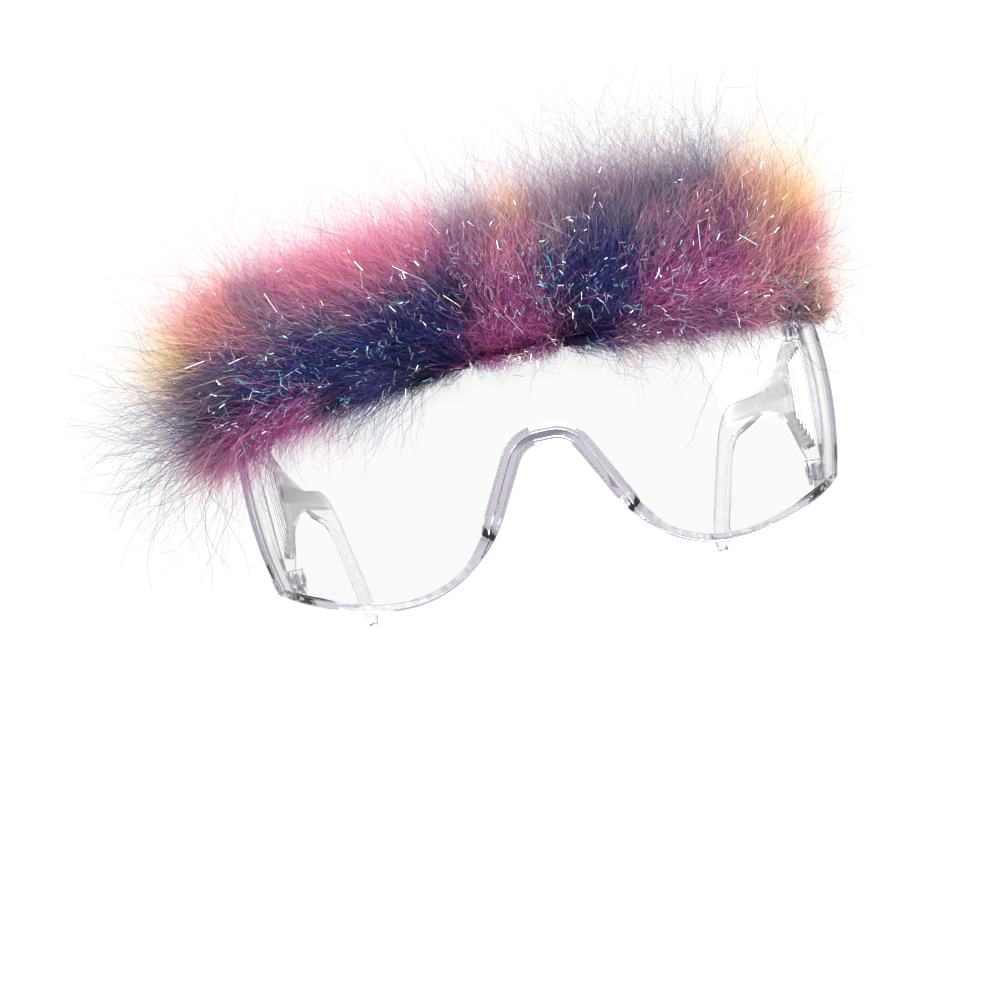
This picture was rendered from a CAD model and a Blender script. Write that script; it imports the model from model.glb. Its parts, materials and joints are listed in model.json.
import json
import math

import bmesh
import bpy
import numpy as np
from mathutils import Matrix, Vector, kdtree

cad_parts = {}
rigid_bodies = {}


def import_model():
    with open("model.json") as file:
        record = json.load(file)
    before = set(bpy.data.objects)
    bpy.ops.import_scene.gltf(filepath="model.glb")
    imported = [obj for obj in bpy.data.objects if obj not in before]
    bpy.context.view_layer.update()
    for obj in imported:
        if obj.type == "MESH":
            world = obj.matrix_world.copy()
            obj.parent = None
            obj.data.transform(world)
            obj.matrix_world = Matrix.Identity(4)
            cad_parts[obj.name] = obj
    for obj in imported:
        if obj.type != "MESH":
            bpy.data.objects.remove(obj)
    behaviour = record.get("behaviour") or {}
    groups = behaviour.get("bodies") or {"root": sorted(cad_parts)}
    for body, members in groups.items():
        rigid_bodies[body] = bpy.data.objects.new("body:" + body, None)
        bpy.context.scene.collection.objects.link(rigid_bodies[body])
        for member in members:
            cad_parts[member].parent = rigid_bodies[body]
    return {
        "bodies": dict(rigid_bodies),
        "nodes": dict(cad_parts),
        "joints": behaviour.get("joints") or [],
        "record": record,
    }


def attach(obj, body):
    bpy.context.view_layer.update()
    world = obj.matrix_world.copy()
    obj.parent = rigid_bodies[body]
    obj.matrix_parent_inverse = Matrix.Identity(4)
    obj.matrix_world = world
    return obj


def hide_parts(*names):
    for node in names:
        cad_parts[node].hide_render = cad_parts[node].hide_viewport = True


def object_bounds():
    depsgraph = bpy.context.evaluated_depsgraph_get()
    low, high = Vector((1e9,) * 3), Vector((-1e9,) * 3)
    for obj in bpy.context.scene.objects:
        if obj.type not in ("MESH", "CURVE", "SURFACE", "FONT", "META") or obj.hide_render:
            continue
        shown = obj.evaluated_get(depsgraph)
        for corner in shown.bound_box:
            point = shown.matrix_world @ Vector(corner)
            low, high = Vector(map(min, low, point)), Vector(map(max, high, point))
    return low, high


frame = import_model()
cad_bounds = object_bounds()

# The view. The photographer stood level with the brow, a touch below it, and held the camera
# tilted; the long lens keeps both ends of the front the same size.
mm = 0.001
view_yaw, view_rise, view_tilt = (math.radians(a) for a in (-1.9, -2.5, -12.1))
view_target = Vector((-13.38, 21.4, -12.12)) * mm
view_distance = 756.9 * mm
pixels_per_mm = 3.877
away = Vector((
    math.sin(view_yaw) * math.cos(view_rise),
    -math.cos(view_yaw) * math.cos(view_rise),
    math.sin(view_rise),
))
level = Vector((0, 0, 1)).cross(away).normalized()
upright = away.cross(level)
across_view = level * math.cos(view_tilt) + upright * math.sin(view_tilt)
up_view = upright * math.cos(view_tilt) - level * math.sin(view_tilt)


def added(name, data):
    """A new object in the scene around its mesh, curve, lamp or camera."""
    thing = bpy.data.objects.new(name, data)
    bpy.context.scene.collection.objects.link(thing)
    return thing


film_width, picture_width = 36, 1000
camera_data = bpy.data.cameras.new("photographer")
camera_data.sensor_width = film_width
camera_data.lens = film_width * pixels_per_mm * view_distance / mm / picture_width
camera = added("photographer", camera_data)
camera.matrix_world = Matrix((across_view, up_view, away)).transposed().to_4x4()
camera.location = view_target + away * view_distance
bpy.context.scene.camera = camera

# The shape of the front. It is one clear moulding of polycarbonate: a wide shallow arc in plan
# with tight corners and short straight sides, bulged from top to bottom.
half_width, plan_depth = 77.2 * mm, 34.0 * mm
front_radius, corner_radius, side_heading = 190.0 * mm, 21.0 * mm, math.radians(80)
bulge_radius, bulge_height, side_lean = 110.0 * mm, -3.0 * mm, 0.06
wall, lens_drop, lens_rise = 2.2 * mm, 33.4 * mm, 28.4 * mm
brow_fall, cheek_rise, cheek_low = 7.6 * mm, 10.0 * mm, 45.0 * mm
seat_half, arch_radius, arch_lean = 1.6 * mm, 6.5 * mm, math.radians(29)
flange_depth, flange_flare, sink = 7.6 * mm, math.radians(25), 0.15 * mm


def side_length(sweep):
    depth = front_radius * (1 - math.cos(sweep))
    depth += corner_radius * (math.cos(sweep) - math.cos(side_heading))
    return (plan_depth - depth) / math.sin(side_heading)


def width_for(sweep):
    width = front_radius * math.sin(sweep)
    width += corner_radius * (math.sin(side_heading) - math.sin(sweep))
    return width + side_length(sweep) * math.cos(side_heading)


sweep_low, sweep = 0.0, side_heading
for _ in range(60):
    middle = (sweep_low + sweep) / 2
    if width_for(middle) < half_width:
        sweep_low = middle
    else:
        sweep = middle
arc_end = front_radius * sweep
corner_end = arc_end + corner_radius * (side_heading - sweep)
rear = corner_end + side_length(sweep)

apex = sink - flange_depth / 2 * math.sin(flange_flare)
bottom, top = apex - lens_drop, apex + lens_rise
front_y = -flange_depth / 2 * math.cos(flange_flare) - sink
front_y -= (apex - bulge_height) ** 2 / 2 / bulge_radius
leg_x = seat_half + arch_radius * math.cos(arch_lean)
leg_z = apex - arch_radius * (1 - math.sin(arch_lean))
cheek_radius = (
    math.cos(arch_lean) * (cheek_low - leg_x) + math.sin(arch_lean) * (bottom - leg_z)
) / (1 - math.sin(arch_lean))
cheek_x = cheek_low - cheek_radius * math.cos(arch_lean)


def smooth(t):
    t = np.clip(t, 0.0, 1.0)
    return t * t * (3 - 2 * t)


def mix(a, b, t):
    return a + (b - a) * t


def heading_at(run):
    """How far the outer face has turned, in plan, at the arc length run from the middle."""
    turned = np.where(run <= arc_end, run / front_radius, sweep + (run - arc_end) / corner_radius)
    return np.minimum(turned, side_heading)


def inward(s):
    """Direction from the outer face into the lens, in plan."""
    heading = heading_at(s)
    return np.stack([-np.sin(heading), np.cos(heading), 0 * heading], -1)


def on_lens(s, z, inset=0.0):
    """Points on the lens, inset from its outer face; a negative s is the wearer's right."""
    s, z, inset = np.broadcast_arrays(np.asarray(s, float), z, inset)
    run = np.abs(s)
    heading = heading_at(run)
    in_front, in_corner = np.minimum(heading, sweep), np.maximum(heading, sweep)
    straight = np.maximum(0.0, run - corner_end)
    x = front_radius * np.sin(in_front) + corner_radius * (np.sin(in_corner) - math.sin(sweep))
    y = front_radius * (1 - np.cos(in_front)) + corner_radius * (math.cos(sweep) - np.cos(in_corner))
    x, y = x + straight * math.cos(side_heading), y + straight * math.sin(side_heading)
    deep = inset + (z - bulge_height) ** 2 / 2 / bulge_radius
    x = (x - np.sin(heading) * deep) * (1 + side_lean * (z - bulge_height) / half_width)
    return np.stack([np.copysign(x, s), front_y + y + np.cos(heading) * deep, z], -1)


def brow_line(s):
    return top - brow_fall * (np.abs(s) / rear) ** 2


def lower_line(s):
    """Height of the lens's lower edge: seat, arch, straight leg, cheek arc and rising corner."""
    s = np.abs(s)
    past_seat = np.clip(s - seat_half, 0, None)
    arch = apex - arch_radius + np.sqrt(np.maximum(arch_radius**2 - past_seat**2, 0))
    leg = leg_z - (s - leg_x) / math.tan(arch_lean)
    cheek = bottom + cheek_radius - np.sqrt(np.maximum(cheek_radius**2 - (cheek_low - s) ** 2, 0))
    corner = bottom + cheek_rise * smooth((s - cheek_low) / (rear - cheek_low))
    return np.select([s <= leg_x, s <= cheek_x, s <= cheek_low], [arch, leg, cheek], corner)


# The front moulding itself: wall, nose arch with its flared flange and rounded feet, ledges that
# widen back to the lower hinge lugs, the shelf behind the brow, and the bead on each rear edge.
ledge_wall, shelf_wall, edge_round, inner_round = 2.2 * mm, 2.0 * mm, 0.5 * mm, 0.6 * mm
foot_x, foot_length, foot_end, lug_width = 18.4 * mm, 5.0 * mm, 0.4 * mm, 6.8 * mm
shelf_middle, ledge_tip, bead_width, bead_proud = 3.4 * mm, 1.4 * mm, 2.6 * mm, 0.7 * mm
corner_round, column_base, flare_fade = 3.0 * mm, 5.0 * mm, 10 * mm


def lens_section(s):
    """One closed section of the moulding at the arc length s, as a ring of points."""
    turn = 0.0
    if seat_half < s <= leg_x:
        turn = math.asin((s - seat_half) / arch_radius)
    elif leg_x < s <= cheek_x:
        turn = math.pi / 2 - arch_lean
    elif cheek_x < s <= cheek_low:
        turn = math.asin((cheek_low - s) / cheek_radius)
    out = np.array([math.sin(turn), 0.0, math.cos(turn)])
    flare = flange_flare * (1 - float(smooth((s - foot_x) / flare_fade)))
    along = inward(np.array(s)) * math.cos(flare) + out * math.sin(flare)
    stand = out * math.cos(flare) - inward(np.array(s)) * math.sin(flare)
    start = (wall + ledge_wall * math.sin(flare)) / math.cos(flare)
    start_up = start * math.sin(flare) + ledge_wall * math.cos(flare)
    tip = start
    if s < foot_x + foot_end:
        fade = max(0.0, (s - foot_x + foot_length) / foot_length)
        tip = max(start, flange_depth * math.sqrt(max(0.0, 1 - 0.8 * fade**2)))
        if s > foot_x:
            tip = mix(tip, start, (s - foot_x) / foot_end)
    elif s > cheek_low:
        t = (s - cheek_low) / (rear - cheek_low)
        tip = start + max(0.0, mix(ledge_tip, lug_width, t**1.5) - wall) * float(smooth(t * 12))
    share = min(1.0, (tip - start) / mm)
    r, r_top, fillet = edge_round, edge_round * share, inner_round * share
    low = float(lower_line(s))
    shift = column_base * math.sin(turn)
    high = float(brow_line(s + shift))
    corner = max(0.0, s - rear + corner_round)
    drop = corner_round - math.sqrt(max(corner_round**2 - corner**2, 0.0))
    low, high = low + drop, high - drop
    bead = bead_proud * float(smooth((s - rear + bead_width) / (bead_width * 0.6)))
    floor_point = on_lens(s, low, 0.0)

    def flange(a, b):
        return floor_point + along * a + stand * b

    def face(h, inset):
        """A point of the wall, h above the lower edge along the column that leaves it squarely."""
        span = high - (low + column_base * math.cos(turn))
        if h <= column_base:
            return on_lens(s + h * math.sin(turn), low + h * math.cos(turn), inset)
        rise = low + column_base * math.cos(turn)
        rise += (h - column_base) * span / (high - low - column_base)
        return on_lens(s + shift, rise, inset)

    tall = high - low
    deep = wall + (mix(shelf_middle, lug_width, (s / rear) ** 2) - wall)
    under = tall - shelf_wall
    quarter = [i * math.pi / 8 for i in range(5)]
    between = np.linspace(0, 1, 25)[1:-1]
    ring = [face(r - r * math.cos(q), r - r * math.sin(q) - bead) for q in quarter]
    ring += [face(mix(r, tall - r, t), -bead) for t in between]
    ring += [face(tall - r + r * math.sin(q), r - r * math.cos(q) - bead) for q in quarter]
    ring += [face(tall, mix(r, deep - r, t)) for t in (0.25, 0.5, 0.75)]
    ring += [face(tall - r + r * math.cos(q), deep - r + r * math.sin(q)) for q in quarter]
    ring += [face(under + r - r * math.sin(q), deep - r + r * math.cos(q)) for q in quarter]
    ring += [face(under, mix(deep - r, wall + inner_round, t)) for t in (0.33, 0.66)]
    ring += [
        face(under - inner_round * (1 - math.cos(q)), wall + inner_round * (1 - math.sin(q)))
        for q in quarter[::2]
    ]
    ring += [face(mix(under - inner_round, start_up + fillet, t), wall) for t in between]
    ring += [face(start_up + fillet, wall)]
    ring += [flange(start + fillet * 0.3, ledge_wall + fillet * 0.3)]
    ring += [flange(mix(start + fillet, tip - r_top, t), ledge_wall) for t in (0.0, 0.25, 0.5, 0.75)]
    ring += [
        flange(tip - r_top + r_top * math.sin(q), ledge_wall - r_top + r_top * math.cos(q))
        for q in quarter
    ]
    ring += [flange(tip - r + r * math.cos(q), r - r * math.sin(q)) for q in quarter]
    ring += [flange(mix(tip - r, r, t), 0.0) for t in (0.2, 0.4, 0.6, 0.8)]
    return np.array(ring)


stations = [0.0, 0.8 * mm, seat_half]
for start, stop, count in (
    (seat_half, leg_x, 16),
    (leg_x, foot_x - foot_length, 10),
    (foot_x - foot_length, foot_x, 14),
    (foot_x, foot_x + foot_end, 3),
    (foot_x + foot_end, cheek_low, 28),
    (cheek_low, arc_end, 14),
    (arc_end, corner_end, 26),
    (corner_end, rear - corner_round, 8),
):
    stations += list(np.linspace(start, stop, count)[1:])
stations += list(rear - corner_round + corner_round * np.sin(np.linspace(0, math.pi / 2, 9)[1:-1]))
stations += [rear - 0.02 * mm]
half_rings = [lens_section(s) for s in stations]
mirror = np.array([-1.0, 1.0, 1.0])
rings = [ring * mirror for ring in reversed(half_rings[1:])] + half_rings


def cleaned(mesh):
    """Joins doubled points and turns the faces outward."""
    bm = bmesh.new()
    bm.from_mesh(mesh)
    bmesh.ops.remove_doubles(bm, verts=bm.verts, dist=0.002 * mm)
    bmesh.ops.recalc_face_normals(bm, faces=bm.faces)
    bm.to_mesh(mesh)
    bm.free()


def skin(name, rings):
    """A smooth closed body through rings of points."""
    rows, count = len(rings), len(rings[0])
    i, j = np.meshgrid(np.arange(rows - 1), np.arange(count), indexing="ij")
    here, following = i * count + j, i * count + (j + 1) % count
    quads = np.stack([here, following, following + count, here + count], -1)
    faces = [tuple(q) for q in quads.reshape(-1, 4).tolist()]
    faces.append(tuple(range(count - 1, -1, -1)))
    faces.append(tuple(range((rows - 1) * count, rows * count)))
    mesh = bpy.data.meshes.new(name)
    mesh.from_pydata(np.concatenate(rings).tolist(), [], faces)
    cleaned(mesh)
    mesh.shade_smooth()
    mesh.set_sharp_from_angle(angle=math.radians(50))
    return added(name, mesh)


front_piece = skin("clear_front", rings)
# how deep the eye looks into the plastic: most at the rims, the feet and the flange of the arch
edge_points, lower_points, brow_points = range(80, 90), 75, range(27, 46)
ring_points = kdtree.KDTree(sum(len(ring) for ring in rings))
depths = []
for ring, s in zip(rings, [-s for s in reversed(stations[1:])] + stations):
    run = abs(s)
    rim = 0.7 * float(smooth((run - rear + 5 * mm) / (3 * mm)))
    foot = math.exp(-((run - foot_x) / (1.6 * mm)) ** 2)
    flange = 0.75 * float(smooth((foot_x + 0.5 * mm - run) / mm))
    for i, point in enumerate(ring):
        on_edge = i in edge_points or i < 2
        lower = 1.0 if on_edge else 0.5 if i >= lower_points or i < 4 else 0.0
        ring_points.insert(point, len(depths))
        depths.append(max(rim, 0.25 * (i in brow_points), lower * max(0.7, flange, foot)))
ring_points.balance()
thick = front_piece.data.attributes.new("thick", "FLOAT", "POINT")
nearest = [depths[ring_points.find(v.co)[1]] for v in front_piece.data.vertices]
thick.data.foreach_set("value", np.array(nearest, np.float32))

# Clear moulded polycarbonate: water clear across the wall, faintly lilac where it is thick, with
# hairline scratches, dust and a slight waviness from the mould.
scratch_group = bpy.data.node_groups.new("handled_plastic", "ShaderNodeTree")
for socket, way, default in (
    ("Scale", "INPUT", 1.0), ("Scratches", "INPUT", 0.5),
    ("Haze", "OUTPUT", 0.0), ("Wave", "OUTPUT", 0.0),
):
    made = scratch_group.interface.new_socket(name=socket, in_out=way, socket_type="NodeSocketFloat")
    made.default_value = default


def wire(tree, node, inputs):
    """Gives inputs of a node a value each, or the node or the socket that feeds them."""
    for key, value in dict(inputs).items():
        if isinstance(value, bpy.types.Node):
            value = next(output for output in value.outputs if output.enabled)
        if isinstance(value, bpy.types.NodeSocket):
            tree.links.new(value, node.inputs[key])
        else:
            node.inputs[key].default_value = value


def add_node(tree, kind, settings=(), inputs=()):
    node = tree.nodes.new("ShaderNode" + kind)
    for key, value in dict(settings).items():
        setattr(node, key, value)
    wire(tree, node, inputs)
    return node


def maths(tree, operation, *values, **settings):
    return add_node(tree, "Math", {"operation": operation, **settings}, enumerate(values))


def noise(tree, place, scale, detail, roughness=0.5):
    inputs = {"Vector": place, "Scale": scale, "Detail": detail, "Roughness": roughness}
    return add_node(tree, "TexNoise", inputs=inputs)


def spread(tree, value, low=0.0, high=1.0, start=0.0, stop=1.0, **settings):
    """Maps a value that runs from start to stop onto low to high."""
    inputs = {"Value": value, "From Min": start, "From Max": stop, "To Min": low, "To Max": high}
    return add_node(tree, "MapRange", settings, inputs)


def bumps(tree, height, strength, distance):
    return add_node(tree, "Bump", inputs={"Height": height, "Strength": strength, "Distance": distance})


def own_place(tree):
    """The place on the piece itself, so that a pattern stays with it as it moves."""
    return add_node(tree, "TexCoord").outputs["Object"]


def attribute(tree, name):
    return add_node(tree, "Attribute", {"attribute_name": name}).outputs["Fac"]


tree = scratch_group
given = tree.nodes.new("NodeGroupInput").outputs
inputs = {0: own_place(tree), "Scale": given["Scale"]}
sized = add_node(tree, "VectorMath", {"operation": "SCALE"}, inputs)
inputs = {"Vector": sized, "Scale": (900, 900, 60), "Rotation": (0.3, 0.2, 0.15)}
stretch = add_node(tree, "Mapping", inputs=inputs)
lines = spread(tree, noise(tree, stretch, 1.0, 3.0), start=0.62, stop=0.72)
dust = spread(tree, noise(tree, sized, 90.0, 6.0, 0.7), high=0.5, start=0.5, stop=0.75)
marks = maths(tree, "MULTIPLY", maths(tree, "ADD", lines, dust, use_clamp=True), given["Scratches"])
wire(tree, tree.nodes.new("NodeGroupOutput"), {"Haze": marks, "Wave": noise(tree, sized, 45.0, 1.0)})


def new_material(name):
    """A new material, its nodes and its shader."""
    material = bpy.data.materials.new(name)
    material.use_nodes = True
    return material, material.node_tree, material.node_tree.nodes["Principled BSDF"]


def clear_plastic(name, scratches, haze, deep, depth_name):
    material, tree, shader = new_material(name)
    inputs = {"Scale": 1.0, "Scratches": scratches}
    worn = add_node(tree, "Group", {"node_tree": scratch_group}, inputs).outputs
    inputs = {"Factor": attribute(tree, depth_name), "A": (0.955, 0.955, 0.965, 1), "B": deep}
    wire(tree, shader, {
        "Base Color": add_node(tree, "Mix", {"data_type": "RGBA"}, inputs),
        "Roughness": spread(tree, worn["Haze"], *haze),
        "Normal": bumps(tree, worn["Wave"], 0.05, 0.0006),
        "Transmission Weight": 1.0,
        "IOR": 1.52,
    })
    return material


front_piece.data.materials.append(
    clear_plastic("clear_polycarbonate", 0.5, (0.015, 0.16), (0.17, 0.11, 0.23, 1), "thick")
)
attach(front_piece, "front")
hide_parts("lens_front")

# The side arms. Each is a flat moulding: a shield with six louvres, a frosted raised panel with
# the lanyard hole, a slim neck, and an arm that turns down behind the ear.
arm_wall, arm_edge, plate_offset, toe_in = 2.0 * mm, 0.35 * mm, 4.5 * mm, math.radians(8.6)
pin_bore, knuckle_wall, knuckle_height, gap = 0.9 * mm, 1.0 * mm, 4.0 * mm, 0.35 * mm
hinge_inset, hinge_from_rear = 4.5 * mm, 3.2 * mm
shield_length, neck_height, neck_level = 57 * mm, 4.8 * mm, 2.0 * mm
ear_length, ear_radius, ear_turn, arm_slope = 87 * mm, 28 * mm, math.radians(47), math.radians(-3)
arm_width, tip_width, panel_raise = 8.0 * mm, 9.4 * mm, 0.45 * mm
ledge_top = float(lower_line(rear)) - sink + ledge_wall
shelf_under = float(brow_line(rear)) + sink - shelf_wall


def arm_frame(side):
    """Axes of an arm: X back along it, Y up its hinge line, Z across it."""
    s = side * (rear - hinge_from_rear)
    low = Vector(on_lens(s, lower_line(s), hinge_inset))
    high = Vector(on_lens(s, brow_line(s), hinge_inset))
    up = (high - low).normalized()
    back = Vector((-side * math.sin(toe_in), math.cos(toe_in), 0.0))
    back = (back - up * back.dot(up)).normalized()
    frame = Matrix((back, up, back.cross(up))).transposed().to_4x4()
    frame.translation = low + up * (-low.z / up.z)
    return frame


def bearing(angle):
    return np.array([math.cos(angle), math.sin(angle)])


def rounded(points, hard=()):
    """A closed outline with its corners cut three times; guards keep the hard corners tight."""
    shortest_guarded, guard = 3 * mm, 0.7 * mm
    guarded = []
    for i, point in enumerate(points):
        for other in (points[i - 1], point, points[(i + 1) % len(points)]) if i in hard else (point,):
            reach = np.linalg.norm(other - point)
            if other is point:
                guarded.append(point)
            elif reach > shortest_guarded:
                guarded.append(point + (other - point) / reach * guard)
    outline = np.array(guarded)
    for _ in range(3):
        ahead = np.roll(outline, -1, axis=0)
        quarters = [outline * 0.75 + ahead * 0.25, outline * 0.25 + ahead * 0.75]
        outline = np.stack(quarters, 1).reshape(-1, 2)
    return outline


plate_front, plate_corner, lanyard_radius = 2.85 * mm, 0.8 * mm, 2.3 * mm
shield_top = shelf_under - 2 * gap
louvre_start, louvre_pitch, louvre_slot = plate_front + 2.7 * mm, 2.5 * mm, 1.35 * mm
louvre_count = 6
panel_start = louvre_start + louvre_pitch * (louvre_count - 1) + louvre_slot + 0.8 * mm
lanyard = np.array([panel_start + 0.6 * mm + panel_raise + lanyard_radius, 3.2 * mm])
panel_end = lanyard[0] + 7.4 * mm


def arm_outline():
    start = np.array([shield_length, neck_level])
    ear = np.array([ear_length, neck_level + math.tan(arm_slope) * (ear_length - shield_length)])
    # the middle line, with its heading and the arm's width: neck to ear, ear bend, tip
    line = [
        (mix(start, ear, t), arm_slope, mix(neck_height, arm_width, float(smooth(t))))
        for t in np.linspace(0, 1, 9)
    ]
    side, last = math.pi / 2, arm_slope - ear_turn
    for heading in np.linspace(arm_slope, last, 15)[1:]:
        swing = bearing(heading + side) - bearing(arm_slope + side)
        line.append((ear + swing * ear_radius, heading, arm_width))
    frame = arm_frame(1)
    reach, bend_end = bearing(last), line[-1][0]
    fall = bottom - sink - frame.translation.z
    slope = reach[0] * frame[2][0] + reach[1] * frame[2][1]
    run = fall + tip_width / 2 - bend_end[0] * frame[2][0] - bend_end[1] * frame[2][1]
    for t in np.linspace(0, 1, 7)[1:]:
        line.append((bend_end + reach * (run / slope) * t, last, mix(arm_width, tip_width, t)))
    upper = [centre + bearing(heading + side) * width / 2 for centre, heading, width in line]
    lower = [centre - bearing(heading + side) * width / 2 for centre, heading, width in line]
    centre, heading, width = line[-1]
    tip = [centre + bearing(heading + side - math.pi * i / 14) * width / 2 for i in range(1, 14)]
    base, corner = ledge_top + 2 * gap, plate_corner
    neck, prong = neck_level + neck_height / 2, neck_level - neck_height / 2
    top_side = [(plate_front, shield_top - corner), (plate_front + corner, shield_top)]
    curve = ((0.20, 0.02), (0.34, 0.16), (0.54, 0.56), (0.80, 0.87))
    top_side += [(shield_length * a, mix(shield_top, neck, b)) for a, b in curve]
    curve = ((0.72, 0.11), (0.53, 0.24), (0.42, 0.43), (0.345, 0.64), (0.24, 0.83), (0.12, 0.945))
    under_side = [(shield_length * a, mix(prong, base, b)) for a, b in curve]
    under_side += [(plate_front + corner, base), (plate_front, base + corner)]
    points = [np.array(p) for p in top_side] + upper + tip + lower[::-1]
    points += [np.array(p) for p in under_side]
    count = len(points)
    return rounded(points, hard=(0, 1, count - 2, count - 1))


def circle(centre, radius, sides=40):
    turns = np.arange(sides) * 2 * math.pi / sides
    return np.stack([centre[0] + radius * np.cos(turns), centre[1] + radius * np.sin(turns)], -1)


def louvres():
    """The slots, from the hinge back; their ends follow the shield's outline (heights in mm)."""
    slots = []
    for i in range(louvre_count):
        t = i / (louvre_count - 1)
        left = louvre_start + louvre_pitch * i
        high, low = mix(11.8, 9.2, t) * mm, mix(-14.6, -6.6, t) * mm
        corners = [(left, low), (left + louvre_slot, low), (left + louvre_slot, high), (left, high)]
        slots.append(rounded([np.array(c) for c in corners], hard=range(4)))
    return slots


def settled(thing):
    """The mesh of an object with its modifier, or of a filled curve."""
    bpy.context.view_layer.update()
    seen_now = thing.evaluated_get(bpy.context.evaluated_depsgraph_get())
    return bpy.data.meshes.new_from_object(seen_now)


def plate(name, outlines, thickness, edge, lift, frame):
    """A moulded plate with rounded edges, filled from flat outlines whose inner ones are holes."""
    curve = bpy.data.curves.new(name, "CURVE")
    curve.dimensions = "2D"
    curve.fill_mode = "BOTH"
    curve.extrude, curve.bevel_depth, curve.offset = thickness / 2 - edge, edge, -edge
    curve.bevel_resolution = 2
    for outline in outlines:
        spline = curve.splines.new("POLY")
        spline.points.add(len(outline) - 1)
        flat = 0 * outline[:, 0]
        spline.points.foreach_set("co", np.column_stack([outline, flat, flat + 1]).ravel())
        spline.use_cyclic_u = True
    drawn = added(name, curve)
    mesh = settled(drawn)
    bpy.data.objects.remove(drawn)
    cleaned(mesh)
    mesh.transform(Matrix.Translation((0, 0, lift)))
    piece = added(name, mesh)
    piece.matrix_world = frame
    return piece


def fuse(piece, tool, operation):
    modifier = piece.modifiers.new(operation, "BOOLEAN")
    modifier.operation, modifier.solver, modifier.object = operation, "EXACT", tool
    mesh = settled(piece)
    piece.modifiers.clear()
    piece.data = mesh
    bpy.data.objects.remove(tool)


def knuckle(side, low, high, frame):
    """The hinge knuckle: round on its pin, with a foot that turns out to the plate."""
    radius, back, rim = pin_bore + knuckle_wall, plate_front + 3.1 * mm, 0.25 * mm
    ring = [bearing(math.radians(270 - 10 * i)) * radius for i in range(19)]
    ring += [np.array(p) for p in (
        (plate_front, radius), (plate_front, plate_offset), (back, plate_offset),
        (back, plate_offset - arm_wall / 2 - sink), (back * 0.62, -radius * 0.7),
        (back * 0.34, -radius),
    )]
    rings = []
    for height, grow in ((low, 0.9), (low + rim, 1.0), (high - rim, 1.0), (high, 0.9)):
        rings.append(np.array([(p[0] * grow, height, side * p[1] * grow) for p in ring]))
    piece = skin("knuckle", rings)
    piece.matrix_world = frame
    return piece


def bore(frame, low, high):
    bm = bmesh.new()
    bmesh.ops.create_cone(
        bm, cap_ends=True, segments=32, radius1=pin_bore, radius2=pin_bore, depth=high - low,
        matrix=Matrix.Translation((0, (low + high) / 2, 0)) @ Matrix.Rotation(-math.pi / 2, 4, "X"),
    )
    mesh = bpy.data.meshes.new("bore")
    bm.to_mesh(mesh)
    bm.free()
    piece = added("bore", mesh)
    piece.matrix_world = frame
    return piece


arm_plastic = clear_plastic("clear_arm_plastic", 0.7, (0.03, 0.3), (0.50, 0.46, 0.50, 1), "frosted")
tree = arm_plastic.node_tree
shader = tree.nodes["Principled BSDF"]
plain_haze = shader.inputs["Roughness"].links[0].from_socket
inputs = {"Factor": attribute(tree, "frosted"), "A": plain_haze, "B": 0.45}
wire(tree, shader, {"Roughness": add_node(tree, "Mix", {"data_type": "FLOAT"}, inputs)})
panel_outline = rounded([
    np.array(corner) for corner in (
        (panel_start, shield_top * 0.73), (panel_start, shield_top * -0.58),
        (mix(panel_start, panel_end, 0.45), shield_top * -0.38),
        (panel_end, shield_top * -0.2), (panel_end, shield_top * 0.46),
    )
], hard=range(5))
knuckle_spans = (
    # each knuckle's lower and upper end, and how far its bore runs past them
    (shelf_under - gap - knuckle_height, shelf_under - gap, 0.8 * mm, gap),
    (ledge_top + gap, ledge_top + gap + knuckle_height, -gap, -0.8 * mm),
)
for side, side_name in ((1, "left"), (-1, "right")):
    frame_of_arm = arm_frame(side)
    arm = plate(
        f"side_arm_{side_name}", [arm_outline(), circle(lanyard, lanyard_radius)] + louvres(),
        arm_wall, arm_edge, side * plate_offset, frame_of_arm,
    )
    panel = plate(
        "panel", [panel_outline, circle(lanyard, lanyard_radius + panel_raise)],
        panel_raise + sink, panel_raise / 3,
        side * (plate_offset + (arm_wall + panel_raise - sink) / 2), frame_of_arm,
    )
    fuse(arm, panel, "UNION")
    for low, high, drill_low, drill_high in knuckle_spans:
        fuse(arm, knuckle(side, low, high, frame_of_arm), "UNION")
        fuse(arm, bore(frame_of_arm, low + drill_low, high + drill_high), "DIFFERENCE")
    arm.data.shade_smooth()
    arm.data.set_sharp_from_angle(angle=math.radians(28))
    spots = np.array([v.co for v in arm.data.vertices])
    border = 0.4 * mm
    frost = smooth((spots[:, 0] - panel_start + border) / border)
    frost *= smooth((panel_end + border - spots[:, 0]) / border)
    frost *= (np.abs(spots[:, 1]) < 14 * mm)
    mark = arm.data.attributes.new("frosted", "FLOAT", "POINT")
    mark.data.foreach_set("value", frost.astype(np.float32))
    arm.data.materials.append(arm_plastic)
    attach(arm, f"arm_{side_name}")
    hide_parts(f"temple_{side_name}")

# The four hinge pins, seen through the clear lugs: short drawn steel pins with flat heads, pressed
# through both knuckles. They stay as the CAD makes them and are given dull, drawn steel.
def colour_ramp(tree, factor, colours, positions=(0, 1), interpolation="LINEAR"):
    """A colour ramp fed by a factor, with one stop for each colour."""
    node = add_node(tree, "ValToRGB", inputs={"Fac": factor})
    node.color_ramp.interpolation = interpolation
    stops = node.color_ramp.elements
    stops.remove(stops[-1])
    for i, (position, colour) in enumerate(zip(positions, colours)):
        stop = stops.new(position) if i else stops[0]
        stop.position, stop.color = position, (*colour, 1)
    return node


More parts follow.
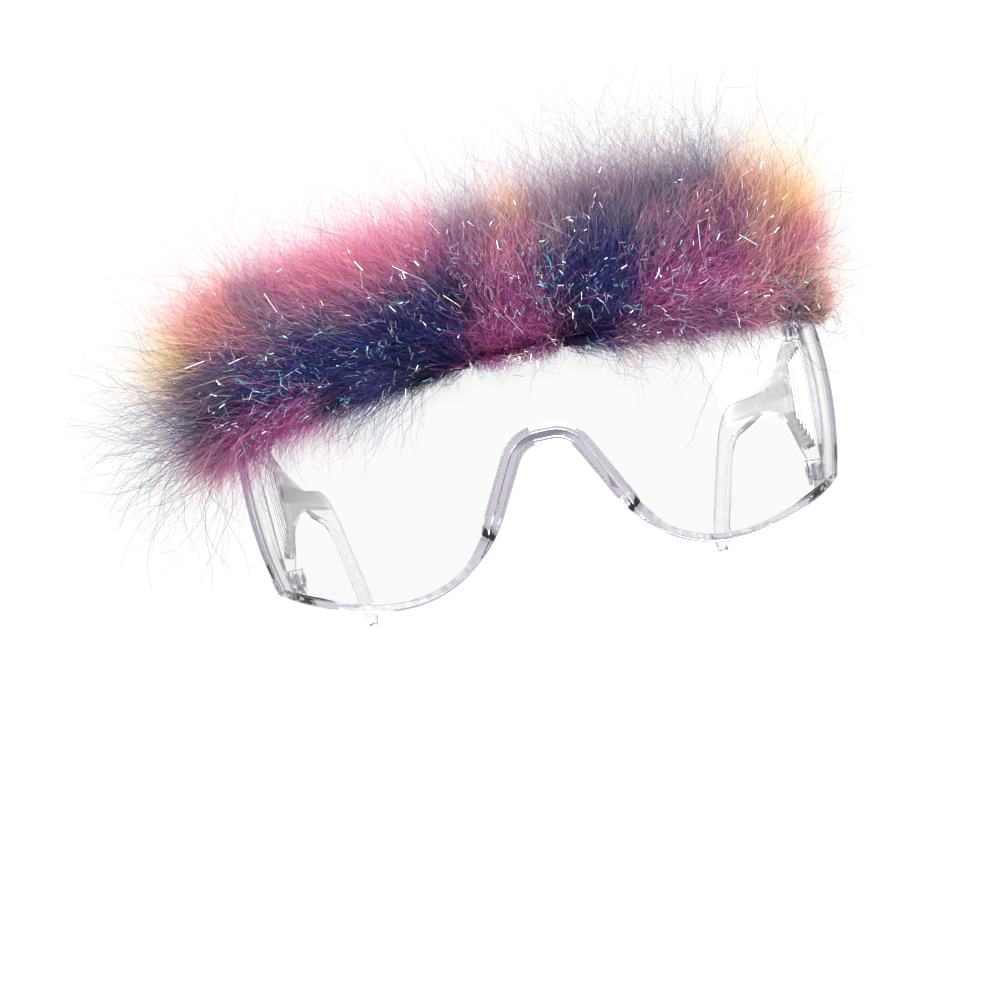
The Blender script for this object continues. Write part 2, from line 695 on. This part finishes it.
pin_steel, tree, shader = new_material("drawn_pin_steel")
draw = add_node(tree, "Mapping", inputs={"Vector": own_place(tree), "Scale": (2600, 2600, 260)})
lines = noise(tree, draw, 1.0, 4.0)
wire(tree, shader, {
    "Base Color": colour_ramp(tree, lines, ((0.20, 0.19, 0.21), (0.52, 0.50, 0.53))),
    "Roughness": spread(tree, lines, 0.25, 0.5),
    "Normal": bumps(tree, lines, 0.3, 0.00005),
    "Metallic": 1.0,
})
for level_name in ("upper", "lower"):
    for side_name in ("left", "right"):
        pin = frame["nodes"][f"hinge_pin_{level_name}_{side_name}"]
        pin.material_slots[0].material = pin_steel

# The knitted backing of the fur. Three cut strips of thin warp knit, laid down the front of the
# brow and folded back over its top; the hair is knitted into their outer face.
strip_ends = {
    "right": (hinge_from_rear + 3.6 * mm - rear, -14.0 * mm),
    "centre": (-14.0 * mm, 9.0 * mm),
    "left": (9.0 * mm, rear - hinge_from_rear - 7.2 * mm),
}
strip_gap, cloth_down, cloth_back = 0.6 * mm, 6.0 * mm, 6.5 * mm
cloth_wall, glue_wall = 1.5 * mm, 0.8 * mm
cloth_near = 2 * gap + glue_wall
cloth_top = sink + gap


def cloth_ring(s, wobble):
    """A section of the folded strip: up the front, round the brow and back over the top."""
    bend = 1.0 * mm
    path = [(h, cloth_near) for h in np.linspace(-cloth_down + wobble, cloth_top - bend, 7)]
    path += [
        (cloth_top - bend + bend * math.sin(q), cloth_near - bend + bend * math.cos(q))
        for q in np.linspace(0, math.pi / 2, 6)[1:]
    ]
    path += [(cloth_top, f) for f in np.linspace(cloth_near - bend, -cloth_back + wobble * 0.7, 7)[1:]]
    path = np.array(path)
    step = np.gradient(path, axis=0)
    normal = np.stack([-step[:, 1], step[:, 0]], -1) / np.linalg.norm(step, axis=1)[:, None]
    outer = path + normal * cloth_wall * (1 if normal[0, 1] > 0 else -1)
    ring = np.concatenate([path, outer[::-1]])
    return on_lens(s, float(brow_line(s)) + ring[:, 0], -ring[:, 1])


def drifting(rng, count, size, window):
    """A slow random drift along a strip."""
    return np.convolve(rng.normal(0, size, count + window - 1), np.ones(window) / window, "valid")


knit, tree, shader = new_material("warp_knit_backing")
place = own_place(tree)
wales = add_node(
    tree, "TexWave", {"wave_type": "BANDS", "bands_direction": "X"},
    {"Vector": place, "Scale": 380.0, "Distortion": 1.2, "Detail": 1.0},
)
courses = add_node(
    tree, "TexWave", {"wave_type": "BANDS", "bands_direction": "DIAGONAL"},
    {"Vector": place, "Scale": 260.0, "Distortion": 2.0},
)
loops = maths(tree, "MULTIPLY", wales.outputs["Fac"], courses.outputs["Fac"])
dyes = colour_ramp(tree, noise(tree, place, 60.0, 5.0), ((0.045, 0.02, 0.07), (0.22, 0.07, 0.24)))
inputs = {"Factor": 0.6, "A": dyes, "B": loops}
wire(tree, shader, {
    "Base Color": add_node(tree, "Mix", {"data_type": "RGBA", "blend_type": "MULTIPLY"}, inputs),
    "Roughness": 0.9,
    "Sheen Weight": 0.3,
    "Normal": bumps(tree, loops, 0.8, 0.0003),
})
cut = np.random.default_rng(11)
for strip_name, (start, stop) in strip_ends.items():
    start, stop = start + strip_gap / 2, stop - strip_gap / 2
    places = np.linspace(start, stop, int((stop - start) / (0.9 * mm)))
    wobble = drifting(cut, len(places), 0.5 * mm, 9) * 1.5
    strip = skin(f"fur_backing_strip_{strip_name}", [cloth_ring(s, w) for s, w in zip(places, wobble)])
    strip.data.materials.append(knit)
    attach(strip, "front")
    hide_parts(f"fur_backing_{strip_name}")

# The glue. A bead of hot-melt glue behind each strip, pressed flat and squeezed out unevenly along
# its lower edge; cloudy, half clear, with a soft skin.
glue_height, glue_margin = 4.0 * mm, 6 * gap
glue, tree, shader = new_material("cloudy_hot_melt")
clouds = noise(tree, own_place(tree), 220.0, 4.0)
wire(tree, shader, {
    "Base Color": colour_ramp(tree, clouds, ((0.80, 0.77, 0.70), (0.96, 0.95, 0.92))),
    "Roughness": spread(tree, clouds, 0.22, 0.5),
    "Normal": bumps(tree, clouds, 0.4, 0.0004),
    "Transmission Weight": 0.55,
    "IOR": 1.48,
})
squeeze = np.random.default_rng(23)
turns = np.linspace(0, 2 * math.pi, 19)[:-1]
pressed_flat = 1 + np.sign(np.cos(turns)) * np.abs(np.cos(turns)) ** 0.5
deep = 0.05 * mm + (gap + glue_wall / 2) * 1.15 * pressed_flat
for strip_name, (start, stop) in strip_ends.items():
    start, stop = start + strip_gap / 2 + glue_margin, stop - strip_gap / 2 - glue_margin
    places = np.linspace(start, stop, int((stop - start) / (0.5 * mm)))
    low = drifting(squeeze, len(places), 1, 11) * 2.2
    high = drifting(squeeze, len(places), 1, 11) * 1.2
    rings = []
    for i, s in enumerate(places):
        from_end = min(i, len(places) - 1 - i) + 1
        pinch = math.sin(math.pi * min(1.0, from_end / 9) / 2)
        tall = (glue_height / 2 + 0.5 * mm * (1 + low[i]) / 2) * pinch
        centre = float(brow_line(s)) - cloth_down + 3.0 * mm - 0.3 * mm * low[i]
        rings.append(on_lens(s, centre + tall * np.sin(turns) * (1 + 0.1 * high[i]), -deep))
    bead = skin(f"hot_melt_bead_{strip_name}", rings)
    bead.data.materials.append(glue)
    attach(bead, "front")
    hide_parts(f"glue_bead_{strip_name}")

# The fur. Long acrylic pile, dyed in patches along the brow: each hair is a fine flat ribbon that
# leaves the backing in its tuft, stands off it, follows the tuft's sweep and curls at the tip.
dye_vats = {
    # each dye: its colour, and its patches as x and z in mm, seen from the front, and weight
    "black blue": ((0.014, 0.012, 0.040), (
        (-80, 22, 0.7), (-50, 20, 0.7), (-30, 26, 0.8), (-14, 36, 1.0), (14, 30, 1.0),
    )),
    "navy": ((0.020, 0.023, 0.190), (
        (-69, 26, 1.2), (-60, 28, 1.4), (-50, 29, 1.6), (-40, 31, 1.8), (-30, 34, 1.8),
        (-20, 37, 1.7), (19, 37, 2.1), (27, 36, 1.5), (22, 28, 1.0),
    )),
    "indigo": ((0.060, 0.045, 0.230), (
        (-72, 33, 0.9), (-56, 36, 0.9), (-42, 22, 0.8), (11, 36, 0.8), (22, 45, 0.9),
    )),
    "slate": ((0.190, 0.155, 0.230), (
        (-110, 25, 1.0), (-105, 13, 1.0), (-96, 19, 1.0), (-88, 26, 1.0), (-80, 30, 0.9),
        (-47, 39, 0.7), (24, 52, 0.7), (36, 43, 0.9), (34, 51, 1.0), (44, 54, 1.1),
        (54, 58, 0.9),
    )),
    "grey mauve": ((0.400, 0.285, 0.370), (
        (-65, 46, 0.8), (-58, 42, 0.7), (-6, 54, 0.8), (14, 50, 0.9), (18, 60, 1.2),
        (29, 61, 1.2), (40, 64, 0.8), (69, 21, 0.5),
    )),
    "plum": ((0.270, 0.085, 0.220), (
        (-64, 35, 0.9), (-38, 41, 0.7), (-27, 43, 0.7), (-15, 47, 0.8), (28, 22, 0.7),
        (40, 19, 0.9), (50, 20, 0.8), (46, 43, 0.7), (53, 40, 1.0), (60, 47, 0.7),
    )),
    "magenta": ((0.520, 0.085, 0.360), (
        (-77, 13, 1.1), (-68, 15, 1.3), (-59, 17, 1.1), (-7, 31, 1.2), (-3, 38, 1.4),
        (3, 30, 1.1), (36, 26, 1.2), (38, 34, 1.4), (46, 32, 1.3), (54, 31, 1.2),
    )),
    "rose": ((0.760, 0.290, 0.420), (
        (-94, 6, 1.4), (-86, 10, 1.4), (-55, 48, 1.0), (-50, 55, 0.9), (-45, 48, 1.2),
        (-38, 56, 0.9), (-33, 49, 1.1), (-23, 51, 1.0), (-2, 46, 1.1), (58, 25, 1.0),
        (68, 34, 1.1), (75, 37, 0.9),
    )),
    "coral": ((0.820, 0.350, 0.340), (
        (-80, 47, 1.1), (-78, 56, 0.9), (-72, 43, 1.1), (66, 27, 0.9),
    )),
    "tan": ((0.740, 0.490, 0.390), (
        (2, 58, 0.5), (64, 42, 0.8), (62, 54, 0.8), (69, 51, 0.9), (38, 47, 0.35),
        (50, 48, 0.35), (76, 28, 1.0), (80, 24, 0.5),
    )),
    "ochre": ((0.860, 0.540, 0.190), (
        (77, 52, 1.3), (75, 44, 0.6),
    )),
    "straw": ((0.880, 0.720, 0.420), (
        (-92, 35, 0.8), (-88, 41, 0.8), (79, 61, 1.3),
    )),
}
last_vat = len(dye_vats) - 1
patches = np.array([
    (x, z, number, weight)
    for number, (_, places) in enumerate(dye_vats.values()) for x, z, weight in places
], float)
patch_at, patch_dye, patch_weight = patches[:, :2] * mm, patches[:, 2], patches[:, 3]


def dyed(hairs, rng):
    """The dye at each point of each hair: that of the patch it lies in, with ragged borders."""
    count = len(hairs)
    ragged = np.where(rng.random(count) < 0.12, 9 * mm, 3.2 * mm)[:, None, None]
    flat = hairs[..., [0, 2]] + rng.normal(0, 1, (count, 1, 2)) * ragged
    near = ((flat[:, :, None, :] - patch_at) ** 2).sum(-1) / (6 * mm) ** 2
    best = np.argmax(patch_weight / (near + 0.12), axis=-1)
    return patch_dye[best] + rng.normal(0, 0.34, (count, 1))


# Tufts: strip, name, row of roots, roots along the brow (mm), headings in the front view, lengths
# (mm), how far the hairs turn on their way (degrees, towards the wearer's right if positive), hairs
tufts = (
    ("right", "under", "front", (-15, -85), (100, 146), (20, 7), 0, 7800),
    ("right", "crest", "front", (-16, -58), (110, 130), (56, 44), 34, 10900),
    ("right", "sweep", "front", (-15, -66), (150, 173), (42, 14), 4, 10500),
    ("right", "spikes", "front", (-52, -72), (110, 118), (54, 46), 4, 6200),
    ("right", "end", "front", (-60, -84), (150, 158), (19, 7), 2, 2600),
    ("right", "fringe", "low", (-44, -76), (170, 180), (22, 14), 2, 4000),
    ("right", "tail", "low", (-60, -82), (184, 196), (27, 21), 0, 2600),
    ("right", "drop", "low", (-15, -85), (250, 200), (6, 6), 0, 1900),
    ("right", "middle", "middle", (-16, -81), (98, 114), (48, 42), 14, 9400),
    ("right", "back", "back", (-17, -81), (96, 112), (44, 40), 12, 9000),
    ("right", "wires", "front", (-58, -82), (154, 174), (41, 38), 0, 1000),
    ("centre", "under", "front", (-13.4, 8.4), (104, 80), (18, 18), 0, 2500),
    ("centre", "crest", "front", (-13.4, 8.4), (106, 80), (50, 50), 0, 5600),
    ("centre", "drop", "low", (-13.4, 8.4), (250, 290), (5, 5), 0, 900),
    ("centre", "middle", "middle", (-13, 8), (100, 84), (50, 50), 0, 2600),
    ("centre", "back", "back", (-12, 7), (98, 84), (46, 46), 0, 2400),
    ("left", "under", "front", (10, 81), (90, 82), (20, 7), 0, 7800),
    ("left", "whorl", "front", (10, 34), (138, 24), (28, 26), -80, 6800),
    ("left", "crest", "front", (10, 58), (91, 92), (55, 51), -6, 9600),
    ("left", "plume", "front", (14, 60), (92, 94), (72, 68), -6, 1900),
    ("left", "sweep", "front", (24, 60), (40, 34), (38, 13), -10, 9000),
    ("left", "spikes", "front", (52, 67), (97, 96), (60, 50), 4, 2900),
    ("left", "streak", "front", (62, 68), (80, 76), (52, 50), 0, 1700),
    ("left", "end", "front", (56, 79), (74, 72), (20, 6), -2, 2000),
    ("left", "corner", "front", (73, 82), (66, 24), (11, 9), 0, 900),
    ("left", "fringe", "low", (14, 58), (2, 10), (19, 9), -8, 3400),
    ("left", "drop", "low", (10, 81), (285, 330), (7, 5), 0, 2600),
    ("left", "middle", "middle", (11, 79), (90, 92), (50, 30), -6, 9000),
    ("left", "back", "back", (11, 79), (90, 92), (47, 26), -6, 8600),
    ("left", "wires", "front", (43, 66), (99, 95), (58, 52), 0, 1150),
    ("left", "loose_end", "front", (62, 78), (64, -10), (22, 14), 0, 140),
    ("left", "strays", "low", (20, 70), (300, 262), (22, 28), 30, 50),
)
stands_off = {
    # shares of the length, and how far the hair stands forward of its root there, in mm
    "front": ((0.0, 0.12, 0.35, 0.72, 1.0), (0.0, 4.0, 8.0, 7.0, 1.5)),
    "low": ((0.0, 0.12, 0.35, 0.72, 1.0), (0.0, 3.0, 5.0, 5.0, 2.0)),
    "middle": ((0.0, 0.12, 0.35, 0.7, 1.0), (0.0, 0.5, 0.0, -1.5, -4.0)),
    "back": ((0.0, 0.12, 0.35, 0.7, 1.0), (0.0, 0.0, -1.5, -4.0, -9.0)),
}
hair_parts, hair_width = 9, 0.11 * mm
steps = np.linspace(0, 1, hair_parts + 1)


def shortened(hairs, keep):
    return hairs[:, :1] + (hairs - hairs[:, :1]) * keep[:, None, None]


def grow(strip, tuft, row, roots, headings, lengths, turn, count, seed):
    """A tuft's hairs as points (hair, step, xyz), the dye of each point, the shade of each hair."""
    rng = np.random.default_rng(seed)
    start, stop = strip_ends[strip]
    t = rng.random(count)
    s = mix(*roots, t) * mm + rng.normal(0, 1.2 * mm, count)
    s = np.clip(s, start + strip_gap, stop - strip_gap)
    root_depth = 0.3 * mm
    skin_out = cloth_near + cloth_wall - root_depth
    skin_up = brow_line(s) + (cloth_top + cloth_wall - root_depth)
    if row == "front":
        root = on_lens(s, brow_line(s) + rng.uniform(-5.8, 0.8, count) * mm, -skin_out)
    elif row == "low":
        root = on_lens(s, brow_line(s) - rng.uniform(3.6, 5.9, count) * mm, -skin_out)
    elif row == "middle":
        root = on_lens(s, skin_up, -cloth_near + rng.random(count) * 3 * mm)
    else:
        root = on_lens(s, skin_up, rng.uniform(1.5, 6.1, count) * mm)
    wiry = tuft in ("wires", "loose_end", "strays")
    # the hairs of a lock share its lean, length, shade and lift, some more than others
    locks = max(6, count // 70)
    lock_t = rng.random(locks)
    orderly, nearest_lock = rng.random(count) < 0.7, np.abs(t[:, None] - lock_t).argmin(-1)
    mine = np.where(orderly, nearest_lock, rng.integers(0, locks, count))
    lock_turn, lock_long = rng.normal(0, 13, locks), rng.uniform(0.68, 1.15, locks)
    lock_shade = rng.normal(0, 0.15, locks)
    lock_lift = rng.normal(0, 2.4, locks)
    follow = rng.uniform(0.2, 1.0, count)
    loose = 26 if tuft in ("under", "drop") else 17 if wiry else 12
    heading = mix(*headings, t) + lock_turn[mine] * follow + rng.normal(0, loose, count)
    heading = np.radians(heading)
    short = rng.random(count) < 0.7
    cut_length = np.where(short, rng.uniform(0.5, 0.9, count), rng.uniform(0.8, 1.12, count))
    if wiry:
        cut_length = rng.uniform(0.5, 1.1, count)
    length = mix(*lengths, t) * mm * lock_long[mine] * cut_length
    forward = np.interp(steps, *stands_off[row]) * mm * rng.uniform(0.5, 1.3, (count, 1))
    forward = forward + (lock_lift[mine][:, None] + rng.normal(0, 2.2, (count, 1))) * steps * mm
    bend = rng.normal(0, 0.45, (count, 1)) + np.radians(lock_turn[mine] + turn)[:, None]
    each_step = (count, len(steps))
    sway = np.cumsum(rng.normal(0, 0.25 if wiry else 0.22, each_step), axis=1)
    turning = heading[:, None] + bend * steps**1.5 * 0.9 + sway
    stepped = length[:, None] / hair_parts
    still = np.zeros((count, 1))
    x = np.concatenate([still, np.cumsum(np.cos(turning[:, 1:]) * stepped, 1)], 1)
    z = np.concatenate([still, np.cumsum(np.sin(turning[:, 1:]) * stepped, 1)], 1)
    droop = (length[:, None] / (45 * mm)) ** 2 * (1.5 if wiry else 3.5) * mm * steps**2.4
    z = z - droop * rng.uniform(0.2, 1.5, (count, 1))
    y = -forward + np.cumsum(rng.normal(0, 0.42 * mm, each_step), axis=1) * steps
    crimp = rng.normal(0, (0.5 if wiry else 0.25) * mm, (*each_step, 3))
    hairs = np.stack([x, y, z], -1) + crimp * np.sqrt(steps)[None, :, None]
    hairs += root[:, None, :] - hairs[:, :1]
    for k in range(locks):
        member = np.flatnonzero(mine == k)
        if len(member) > 2 and not wiry:
            middle_line = hairs[member].mean(0)
            pull = (0.46 * follow[member])[:, None, None] * (steps**1.3)[None, :, None]
            hairs[member] = middle_line + (hairs[member] - middle_line) * (1 - pull)
    if strip == "left" and tuft not in ("loose_end", "strays"):
        # the pile was clipped round where it comes to the end of the brow
        furthest = hairs[..., 0].max(1)
        over = np.maximum(0, furthest - rng.normal((86 if wiry else 82) * mm, 3 * mm, count))
        reach = np.maximum(furthest - hairs[:, 0, 0], 1e-6)
        hairs = shortened(hairs, np.clip(1 - 0.9 * over / reach, 0.3, 1))
    if wiry:
        shares_of_dye = (0.25, 0.3, 0.35, 0.1) if strip == "right" else (0.25, 0.2, 0.25, 0.3)
        dye = rng.choice([0.0, 2.5, 3.4, 9.2], count, p=shares_of_dye)[:, None] + 0 * steps
    else:
        dye = dyed(hairs, rng)
    paler = 0.32 * np.clip((s - 60 * mm) / (12 * mm), 0, 1)
    return hairs, dye, lock_shade[mine] + rng.normal(0, 0.1, count) + paler


cad_low, cad_high = (np.array(corner) for corner in cad_bounds)
trim_low = cad_low - 0.03 * (cad_high - cad_low) - 8.5 * mm
trim_high = cad_high + 0.03 * (cad_high - cad_low) + 8.5 * mm
trim_low[2], trim_high[0], trim_high[1] = -34 * mm, 95 * mm, 26 * mm


def trimmed(hairs):
    """Cuts the hairs that stray furthest, so that the fur keeps its size."""
    for limit, sign in ((trim_low, -1), (trim_high, 1)):
        for axis in range(3):
            over = (sign * (hairs[..., axis] - limit[axis])).max(-1)
            reach = (sign * (hairs[..., axis] - hairs[:, :1, axis])).max(-1)
            keep = np.clip(1 - over / np.maximum(reach, 1e-6), 0.1, 1)
            hairs = shortened(hairs, np.where(over > 0, keep, 1))
    return hairs


plan = on_lens(np.linspace(0, rear, 80), float(top))
plan = plan[np.argsort(plan[:, 0])]


def off_the_lens(hairs):
    """Hairs below the brow hang in front of the lens or above the strips, never through them."""
    x = np.abs(hairs[..., 0])
    clear_y = front_y + np.interp(x, plan[:, 0], plan[:, 1] - front_y) - 2.6 * mm
    brow = float(top) + 1 * mm - brow_fall * np.minimum(1, x / half_width) ** 2
    below = np.where(x < half_width + 2 * mm, smooth((brow - hairs[..., 2]) / (2 * mm)), 0)
    hairs[..., 1] -= below * np.maximum(0, hairs[..., 1] - clear_y)
    return hairs


def unit(arrows, spare=0.0):
    return arrows / (np.linalg.norm(arrows, axis=-1, keepdims=True) + spare)


def ribbons(name, hairs, dye, shade, width):
    """One mesh of flat ribbons along the hairs; its map holds the dye and the height up the hair."""
    count, points = hairs.shape[:2]
    rng = np.random.default_rng(len(name) + count)
    along = unit(np.gradient(hairs, axis=1), 1e-9)
    aside = unit(np.cross(along, rng.normal(0, 1, (count, 1, 3))), 1e-9)
    t = np.linspace(0, 1, points)[None, :, None]
    half = width / 2 * (1 - 0.72 * t**2) * rng.uniform(0.7, 1.3, (count, 1, 1))
    vertices = np.stack([hairs - aside * half, hairs + aside * half], 2).reshape(-1, 3)
    base = (np.arange(count) * points * 2)[:, None] + np.arange(points - 1)[None, :] * 2
    quads = np.stack([base, base + 1, base + 3, base + 2], -1).reshape(-1, 4)
    mesh = bpy.data.meshes.new(name)
    mesh.vertices.add(len(vertices))
    mesh.vertices.foreach_set("co", vertices.astype(np.float32).ravel())
    mesh.loops.add(quads.size)
    mesh.loops.foreach_set("vertex_index", quads.ravel().astype(np.int32))
    mesh.polygons.add(len(quads))
    mesh.polygons.foreach_set("loop_start", (np.arange(len(quads)) * 4).astype(np.int32))
    mesh.update()
    mesh.validate()
    dye = np.clip(dye / last_vat, 0.004, 0.996)
    rise = np.clip(0.06 + 0.78 * t[..., 0] ** 0.8 + shade[:, None], 0.01, 0.99)
    u = np.stack([dye - 0.0015, dye + 0.0015], -1).reshape(-1)
    v = np.stack([rise, rise], -1).reshape(-1)
    uv = mesh.uv_layers.new(name="OFBake")
    uv.data.foreach_set("uv", np.stack([u[quads], v[quads]], -1).astype(np.float32).ravel())
    mesh.shade_smooth()
    mesh.materials.append(fur_dye)
    return added(name, mesh)


def own_map(tree):
    """The two numbers that a piece's map gives each hair or facet, as sockets X and Y."""
    inputs = {0: add_node(tree, "UVMap", {"uv_map": "OFBake"})}
    return add_node(tree, "SeparateXYZ", inputs=inputs).outputs


fur_dye, tree, shader = new_material("dyed_acrylic_pile")
map_of = own_map(tree)
vat_places = [i / last_vat for i in range(last_vat + 1)]
dyed_colour = colour_ramp(tree, map_of["X"], [colour for colour, _ in dye_vats.values()], vat_places)
inputs = {0: dyed_colour, "Scale": spread(tree, map_of["Y"], 0.62, 1.5)}
lit = add_node(tree, "VectorMath", {"operation": "SCALE"}, inputs)
wire(tree, shader, {"Base Color": lit, "Roughness": 0.5, "Specular IOR Level": 0.35})
density = 1.0
hairs_with_tinsel = {}
for number, (strip_name, tuft, row, *shape, count) in enumerate(tufts):
    hairs, dye, shade = grow(strip_name, tuft, row, *shape, int(count * density), 100 + number)
    hairs = off_the_lens(trimmed(hairs))
    piece = ribbons(f"fur_{strip_name}_{tuft}", hairs, dye, shade, hair_width)
    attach(piece, "front")
    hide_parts(f"fur_pile_{strip_name}")
    if row in ("front", "low") and tuft not in ("wires", "loose_end", "strays", "under"):
        hairs_with_tinsel.setdefault(strip_name, []).append(hairs)

# The tinsel. Fine metallised film slit into threads and knitted in among the hair; each thread
# has been crushed into short straight facets, and each facet flashes on its own.
films = (
    (0.95, 0.95, 1.00), (0.80, 0.72, 1.00), (0.55, 0.62, 1.00), (0.30, 0.75, 1.00),
    (0.35, 0.95, 0.95), (0.35, 0.95, 0.60), (0.98, 0.80, 0.95), (1.00, 0.90, 0.45),
)
film_shares = (0.40, 0.16, 0.09, 0.09, 0.09, 0.05, 0.08, 0.04)
cool_films, last_cool_dye = (2, 3, 3, 4, 4, 5), 3.2
tinsel_film, tree, shader = new_material("crushed_tinsel_film")
map_of = own_map(tree)
film_starts = [i / len(films) for i in range(len(films))]
film_colours = colour_ramp(tree, map_of["X"], films, film_starts, "CONSTANT")
wire(tree, shader, {"Base Color": film_colours, "Metallic": 1.0, "Roughness": 0.16})
tinsel_width, facets = 0.10 * mm, 3
thread_counts = {"right": 4200, "centre": 1300, "left": 4000}
for number, (strip_name, count) in enumerate(thread_counts.items()):
    rng = np.random.default_rng(500 + number)
    source = np.concatenate(hairs_with_tinsel[strip_name])
    pick = rng.integers(0, len(source), count)
    step = rng.integers(2, hair_parts - 1, count)
    threads = np.zeros((count, facets + 1, 3))
    threads[:, 0] = source[pick, step] + np.array([0, -1, 0]) * rng.uniform(0, 4, (count, 1)) * mm
    flow = unit(source[pick, step + 1] - source[pick, step])
    uncrushed = rng.random((count, 1)) < 0.03
    long_facet = np.where(uncrushed, 6.5 * mm, rng.uniform(0.7, 2.6, (count, 1)) * mm)
    for k in range(facets):
        flow = unit(flow + rng.normal(0, 0.5, (count, 3)))
        threads[:, k + 1] = threads[:, k] + flow * rng.uniform(0.5, 1.0, (count, 1)) * long_facet
    threads = off_the_lens(threads)
    # each facet is its own flat strip, twisted from the one before
    from_point, to_point = threads[:, :-1].reshape(-1, 3), threads[:, 1:].reshape(-1, 3)
    along = unit(to_point - from_point)
    aside = np.cross(along, rng.normal(0, 1, along.shape))
    aside *= tinsel_width / 2 / np.linalg.norm(aside, axis=-1, keepdims=True)
    corners = [from_point - aside, from_point + aside, to_point + aside, to_point - aside]
    corners = np.stack(corners, 1).reshape(-1, 3)
    mesh = bpy.data.meshes.new(f"tinsel_{strip_name}")
    mesh.from_pydata(corners.tolist(), [], np.arange(len(corners)).reshape(-1, 4).tolist())
    film = rng.choice(len(films), count, p=film_shares)
    cool = dyed(threads[:, :1], rng)[:, 0] < last_cool_dye
    film = np.where(cool & (rng.random(count) < 0.6), rng.choice(cool_films, count), film)
    middle_u = (np.repeat(film, facets) + 0.5) / len(films)
    u = np.stack([middle_u - 0.02, middle_u + 0.02, middle_u + 0.02, middle_u - 0.02], -1)
    v = np.tile(np.array([0.3, 0.3, 0.7, 0.7]), (len(middle_u), 1))
    uv = mesh.uv_layers.new(name="OFBake")
    uv.data.foreach_set("uv", np.stack([u, v], -1).astype(np.float32).ravel())
    mesh.materials.append(tinsel_film)
    tinsel = added(f"tinsel_{strip_name}", mesh)
    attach(tinsel, "front")

# The studio: a plain pale floor that turns to plain white far off, one large soft key from the
# upper left, a soft fill from the right and a soft lamp behind, at a level that shows colours as
# they are.
floor_reach, white_from, white_to = 3.0, 0.45, 0.95
floor_corners = [(x * floor_reach, y * floor_reach, 0) for x, y in ((-1, -1), (1, -1), (1, 1), (-1, 1))]
floor_mesh = bpy.data.meshes.new("pale_floor")
floor_mesh.from_pydata(floor_corners, [], [(0, 1, 2, 3)])
floor = added("pale_floor", floor_mesh)
floor.location = (0, 0, bottom - sink - 0.15 * mm)
paper, tree, shader = new_material("pale_paper")
wire(tree, shader, {"Base Color": (0.80, 0.80, 0.81, 1), "Roughness": 0.9})
seen = add_node(tree, "LightPath").outputs
far_off = add_node(tree, "VectorMath", {"operation": "LENGTH"}, {0: own_place(tree)})
fading = spread(tree, far_off, start=white_from, stop=white_to, interpolation_type="SMOOTHSTEP")
direct = maths(tree, "MAXIMUM", seen["Is Camera Ray"], seen["Is Transmission Ray"])
mirrored_only = maths(tree, "MINIMUM", seen["Is Glossy Ray"], seen["Is Reflection Ray"])
white = maths(tree, "MAXIMUM", maths(tree, "MULTIPLY", fading, direct), mirrored_only)
from_above = add_node(tree, "MixShader", inputs={0: white, 1: shader, 2: add_node(tree, "Emission")})
underneath = add_node(tree, "NewGeometry").outputs["Backfacing"]
inputs = {0: underneath, 1: from_above, 2: add_node(tree, "BsdfTransparent")}
wire(tree, tree.nodes["Material Output"], {"Surface": add_node(tree, "MixShader", inputs=inputs)})
floor_mesh.materials.append(paper)

world = bpy.data.worlds.new("studio")
bpy.context.scene.world = world
world.use_nodes = True
tree = world.node_tree
tree.nodes.clear()
direction = add_node(tree, "TexCoord").outputs["Generated"]
height = add_node(tree, "SeparateXYZ", inputs={0: direction}).outputs["Z"]
ceiling = colour_ramp(tree, height, ((1, 1, 1), (0.40, 0.39, 0.46)), (0.62, 0.85))
room = add_node(tree, "Background", inputs={"Color": (0.96, 0.98, 1.0, 1), "Strength": 0.5})
mirrored = add_node(tree, "Background", inputs={"Color": ceiling, "Strength": 1.0})
backdrop = add_node(tree, "Background", inputs={"Color": (1, 1, 1, 1), "Strength": 1.0})
seen = add_node(tree, "LightPath").outputs
either = maths(tree, "MAXIMUM", seen["Is Glossy Ray"], seen["Is Transmission Ray"])
in_plastic = add_node(tree, "MixShader", inputs={0: either, 1: room, 2: mirrored})
blend = add_node(tree, "MixShader", inputs={0: seen["Is Camera Ray"], 1: in_plastic, 2: backdrop})
add_node(tree, "OutputWorld", inputs={"Surface": blend})
for lamp_name, at, size, power in (
    ("soft_key", (-0.55, -0.75, 0.65), 0.55, 7.0),
    ("soft_fill", (0.75, -0.55, 0.25), 0.6, 3.4),
    ("back_strip", (0.2, 0.8, 0.6), 0.5, 3.8),
):
    lamp_data = bpy.data.lights.new(lamp_name, "AREA")
    lamp_data.shape, lamp_data.size, lamp_data.energy = "SQUARE", size, power
    lamp = added(lamp_name, lamp_data)
    lamp.location = at
    aim = Vector((0, 0.02, 0.01)) - Vector(at)
    lamp.rotation_euler = aim.to_track_quat("-Z", "Y").to_euler()

bpy.context.scene.view_settings.view_transform = "Standard"
